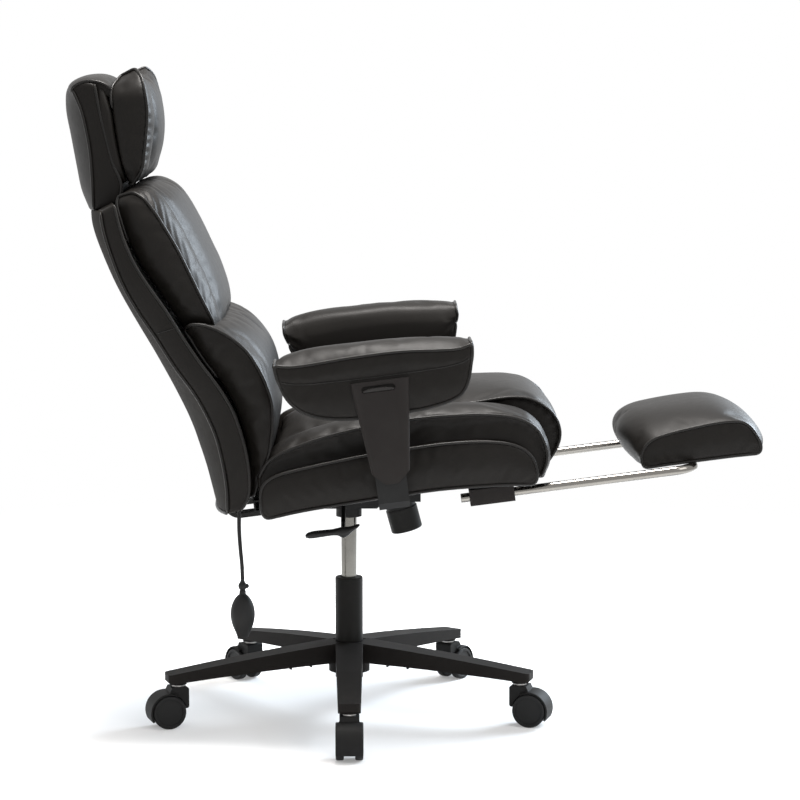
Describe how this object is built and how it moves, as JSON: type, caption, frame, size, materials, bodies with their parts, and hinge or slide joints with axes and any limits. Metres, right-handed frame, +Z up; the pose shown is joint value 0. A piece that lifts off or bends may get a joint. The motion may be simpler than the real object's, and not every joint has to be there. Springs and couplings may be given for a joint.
{
  "type": "office chair",
  "caption": "High-back padded office chair with tilting seat, gas lift, height-adjustable arms, lumbar hand pump and pull-out footrest, on a star base with casters.",
  "frame": {"origin": "on the floor, under the axis of the gas lift", "axes": "+X the way the chair faces, +Y to the sitter's left, +Z up"},
  "size_m": [1.227, 0.76, 1.1633],
  "materials": {
    "cover_black": "soft black coated upholstery with a fine grain",
    "moulded_black": "moulded black, lightly textured",
    "button_black": "moulded black",
    "caster_hood_black": "moulded black, satin",
    "caster_tread_black": "matt black nylon",
    "lever_black": "moulded black",
    "knob_black": "moulded black",
    "tube_black": "black stove enamel",
    "lift_steel": "plated, satin",
    "painted_steel": "black powder coat",
    "bracket_steel": "grey powder coat",
    "plain_steel": "zinc plated",
    "rail_chrome": "bright plated tube",
    "clamp_steel": "black powder coat",
    "plywood": "raw moulded plywood",
    "hose_rubber": "matt black rubber",
    "valve_black": "moulded black"
  },
  "bodies": {
    "base": {"star_base": "moulded_black", "gas_outer_tube": "tube_black", "gas_guide_bush": "moulded_black", "gas_thrust_bearing": "plain_steel"},
    "piston": {"gas_piston_rod": "plain_steel"},
    "core": {"gas_cylinder": "lift_steel", "mechanism_housing": "painted_steel", "tilt_pivot_pin": "plain_steel", "tension_spring": "plain_steel"},
    "release": {"gas_release_pin": "plain_steel"},
    "knob": {"tension_knob": "knob_black", "tension_bolt": "plain_steel"},
    "lever": {"lever_rod": "painted_steel", "lever_paddle": "lever_black"},
    "seat": {"tilt_plate": "painted_steel", "seat_board": "plywood", "frame_bolts": "plain_steel", "seat_base_cushion": "cover_black", "seat_top_cushion": "cover_black", "seat_center_pad": "cover_black", "arm_bracket_left": "painted_steel", "arm_bracket_right": "painted_steel", "back_brackets": "bracket_steel", "back_board": "plywood", "back_rear_panel": "cover_black", "back_main_cushion": "cover_black", "lumbar_air_bladder": "hose_rubber", "lumbar_pad": "cover_black", "back_upper_pad": "cover_black", "headrest_core": "cover_black", "headrest_pillow": "cover_black", "footrest_guides": "moulded_black"},
    "arm_left": {"arm_sleeve_left": "moulded_black", "arm_pad_left": "cover_black"},
    "arm_right": {"arm_sleeve_right": "moulded_black", "arm_pad_right": "cover_black"},
    "arm_left_release": {"arm_button_left": "button_black"},
    "arm_right_release": {"arm_button_right": "button_black"},
    "footrest_rail": {"footrest_frame": "rail_chrome"},
    "footrest": {"footrest_board": "plywood", "footrest_pad": "cover_black", "footrest_clamps": "clamp_steel"},
    "pump": {"pump_hose": "hose_rubber", "pump_valve": "valve_black", "pump_bulb": "hose_rubber"},
    "caster_1": {"caster_1_housing": "caster_hood_black", "caster_1_pins": "plain_steel"},
    "wheels_1": {"caster_1_wheels": "caster_tread_black"},
    "caster_2": {"caster_2_housing": "caster_hood_black", "caster_2_pins": "plain_steel"},
    "wheels_2": {"caster_2_wheels": "caster_tread_black"},
    "caster_3": {"caster_3_housing": "caster_hood_black", "caster_3_pins": "plain_steel"},
    "wheels_3": {"caster_3_wheels": "caster_tread_black"},
    "caster_4": {"caster_4_housing": "caster_hood_black", "caster_4_pins": "plain_steel"},
    "wheels_4": {"caster_4_wheels": "caster_tread_black"},
    "caster_5": {"caster_5_housing": "caster_hood_black", "caster_5_pins": "plain_steel"},
    "wheels_5": {"caster_5_wheels": "caster_tread_black"}
  },
  "joints": [
    {"name": "swivel", "type": "hinge", "parent": "base", "child": "piston", "pos_m": [0, 0, 0.1], "axis": [0, 0, 1], "continuous": true},
    {"name": "lift", "type": "slide", "parent": "piston", "child": "core", "axis": [0, 0, 1], "range_m": [-0.085, 0]},
    {"name": "release_press", "type": "slide", "parent": "core", "child": "release", "axis": [0, 0, -1], "range_m": [0, 0.0038]},
    {"name": "tension_turn", "type": "hinge", "parent": "core", "child": "knob", "pos_m": [0.088, 0, 0.4], "axis": [0.2588, 0, -0.9659], "continuous": true},
    {"name": "lever_lift", "type": "hinge", "parent": "core", "child": "lever", "pos_m": [-0.01, -0.054, 0.394], "axis": [-1, 0, 0], "range_deg": [0, 4]},
    {"name": "seat_tilt", "type": "hinge", "parent": "core", "child": "seat", "pos_m": [0.02, 0, 0.398], "axis": [0, 1, 0], "range_deg": [-9, 7]},
    {"name": "arm_height_left", "type": "slide", "parent": "seat", "child": "arm_left", "axis": [-0.1253, 0, 0.9921], "range_m": [-0.025, 0.045]},
    {"name": "arm_height_right", "type": "slide", "parent": "seat", "child": "arm_right", "axis": [-0.1253, 0, 0.9921], "range_m": [-0.025, 0.045]},
    {"name": "arm_release_left", "type": "slide", "parent": "arm_left", "child": "arm_left_release", "axis": [0, -1, 0], "range_m": [0, 0.003], "stiffness_N_per_m": 600, "springref_m": -0.002},
    {"name": "arm_release_right", "type": "slide", "parent": "arm_right", "child": "arm_right_release", "axis": [0, 1, 0], "range_m": [0, 0.003], "stiffness_N_per_m": 600, "springref_m": -0.002},
    {"name": "footrest_slide", "type": "slide", "parent": "seat", "child": "footrest_rail", "axis": [0.9921, 0, 0.1253], "range_m": [-0.19, 0]},
    {"name": "footrest_flip", "type": "hinge", "parent": "footrest_rail", "child": "footrest", "pos_m": [0.60113, 0, 0.47576], "axis": [0, 1, 0], "range_deg": [0, 180]},
    {"name": "pump_swing", "type": "hinge", "parent": "seat", "child": "pump", "pos_m": [-0.19103, -0.13, 0.41923], "axis": [0, -1, 0], "range_deg": [-25, 25]},
    {"name": "caster_1_swivel", "type": "hinge", "parent": "base", "child": "caster_1", "pos_m": [0, -0.32, 0.07], "axis": [0, 0, 1], "continuous": true},
    {"name": "caster_1_roll", "type": "hinge", "parent": "caster_1", "child": "wheels_1", "pos_m": [0, -0.341, 0.03], "axis": [1, 0, 0], "continuous": true},
    {"name": "caster_2_swivel", "type": "hinge", "parent": "base", "child": "caster_2", "pos_m": [0.30434, -0.09889, 0.07], "axis": [0, 0, 1], "continuous": true},
    {"name": "caster_2_roll", "type": "hinge", "parent": "caster_2", "child": "wheels_2", "pos_m": [0.32431, -0.10537, 0.03], "axis": [0.309, 0.9511, 0], "continuous": true},
    {"name": "caster_3_swivel", "type": "hinge", "parent": "base", "child": "caster_3", "pos_m": [0.18809, 0.25888, 0.07], "axis": [0, 0, 1], "continuous": true},
    {"name": "caster_3_roll", "type": "hinge", "parent": "caster_3", "child": "wheels_3", "pos_m": [0.20044, 0.27587, 0.03], "axis": [-0.809, 0.5878, 0], "continuous": true},
    {"name": "caster_4_swivel", "type": "hinge", "parent": "base", "child": "caster_4", "pos_m": [-0.18809, 0.25888, 0.07], "axis": [0, 0, 1], "continuous": true},
    {"name": "caster_4_roll", "type": "hinge", "parent": "caster_4", "child": "wheels_4", "pos_m": [-0.20044, 0.27587, 0.03], "axis": [-0.809, -0.5878, 0], "continuous": true},
    {"name": "caster_5_swivel", "type": "hinge", "parent": "base", "child": "caster_5", "pos_m": [-0.30434, -0.09889, 0.07], "axis": [0, 0, 1], "continuous": true},
    {"name": "caster_5_roll", "type": "hinge", "parent": "caster_5", "child": "wheels_5", "pos_m": [-0.32431, -0.10537, 0.03], "axis": [0.309, -0.9511, 0], "continuous": true}
  ],
  "couplings": [
    {"joint": "release_press", "follows": "lever_lift", "m_per_rad": 0.054},
    {"joint": "footrest_flip", "follows": "footrest_slide", "rad_per_m": -16.535}
  ]
}
